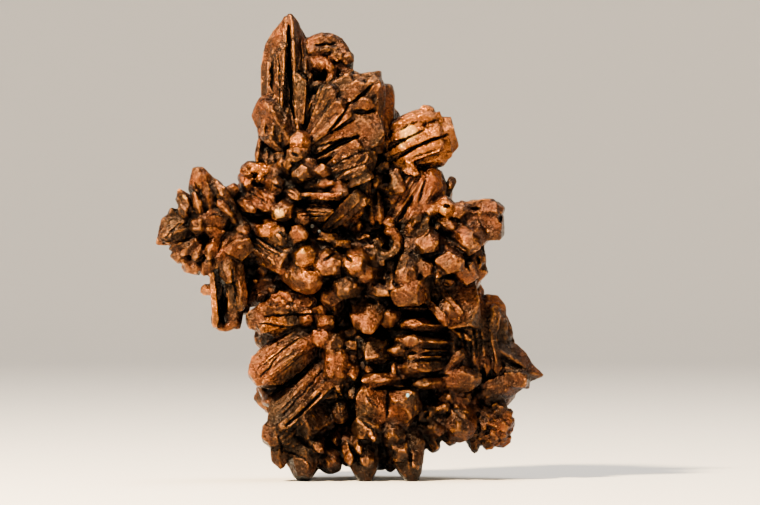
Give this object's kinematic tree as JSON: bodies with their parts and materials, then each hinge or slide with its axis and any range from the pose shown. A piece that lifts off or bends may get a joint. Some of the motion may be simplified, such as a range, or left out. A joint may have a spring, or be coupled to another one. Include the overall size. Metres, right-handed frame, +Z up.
{
  "type": "native copper nugget",
  "caption": "Branching cluster of intergrown copper crystals with a tall spire, two side arms and ribbed blades, standing on its lowest crystal tips.",
  "frame": {"origin": "middle of the footprint, on the surface that the specimen stands on", "axes": "+Z up along the spire, +X to the viewer's right, -Y towards the viewer of the display side"},
  "size_m": [0.0621, 0.0285, 0.0744],
  "materials": {
    "native_copper": "tarnished native copper: brown patina over orange metal, pitted, bright where the faces are clean"
  },
  "bodies": {
    "root": {"copper_nugget": "native_copper"}
  },
  "joints": []
}
